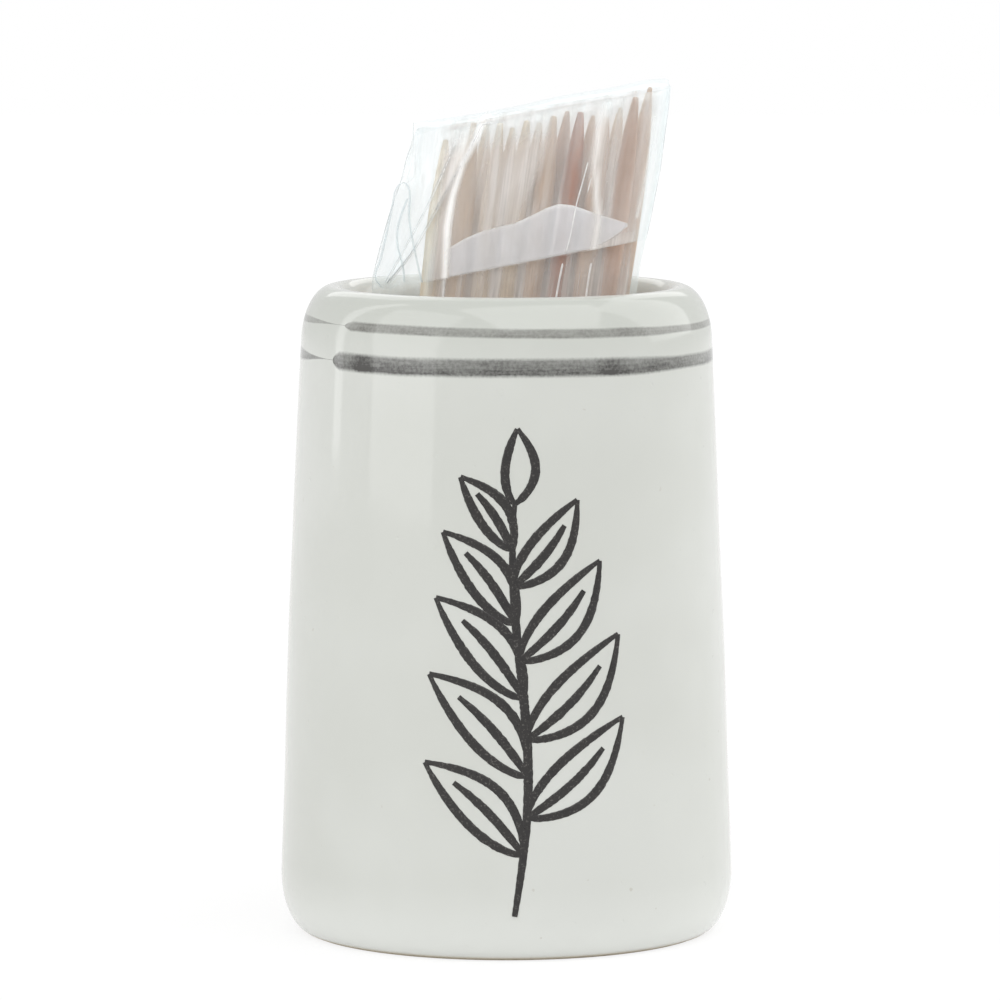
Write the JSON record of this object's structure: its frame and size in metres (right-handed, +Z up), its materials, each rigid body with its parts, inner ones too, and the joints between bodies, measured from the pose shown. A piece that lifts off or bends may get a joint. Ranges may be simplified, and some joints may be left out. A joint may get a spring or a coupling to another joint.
{
  "type": "toothpick holder",
  "caption": "Glazed ceramic cup with two brushed bands, holding a leaning clear film bag of round wooden toothpicks.",
  "frame": {"origin": "centre of the cup's underside, at the level it stands on", "axes": "+Z up along the cup's axis, the painted front towards -Y, the bag leaning towards +X"},
  "size_m": [0.0398, 0.0398, 0.0754],
  "materials": {
    "glaze": "glossy warm off-white glaze with two grey brushed bands below the rim",
    "film": "clear glossy crinkled film",
    "strip": "milky adhesive strip",
    "wood": "bare sanded wood with fine straight grain"
  },
  "bodies": {
    "holder": {"cup": "glaze"},
    "bag": {"bag_pouch": "film", "toothpick_01": "wood", "toothpick_02": "wood", "toothpick_03": "wood", "toothpick_04": "wood", "toothpick_05": "wood", "toothpick_06": "wood", "toothpick_07": "wood", "toothpick_08": "wood", "toothpick_09": "wood", "toothpick_10": "wood", "toothpick_11": "wood", "toothpick_12": "wood", "toothpick_13": "wood", "toothpick_14": "wood", "toothpick_15": "wood", "toothpick_16": "wood", "toothpick_17": "wood", "toothpick_18": "wood", "toothpick_19": "wood", "toothpick_20": "wood", "toothpick_21": "wood", "toothpick_22": "wood", "toothpick_23": "wood", "toothpick_24": "wood", "toothpick_25": "wood", "toothpick_26": "wood", "toothpick_27": "wood", "toothpick_28": "wood", "toothpick_29": "wood"},
    "flap": {"bag_flap": "film", "adhesive_strip": "strip"}
  },
  "joints": [
    {"name": "bag_lift", "type": "slide", "parent": "holder", "child": "bag", "axis": [0.1253, 0, 0.9921], "range_m": [0, 0.06]},
    {"name": "flap_open", "type": "hinge", "parent": "bag", "child": "flap", "pos_m": [0.00376, 0.00382, 0.0731], "axis": [-0.9816, 0, -0.1908], "range_deg": [0, 150]}
  ]
}
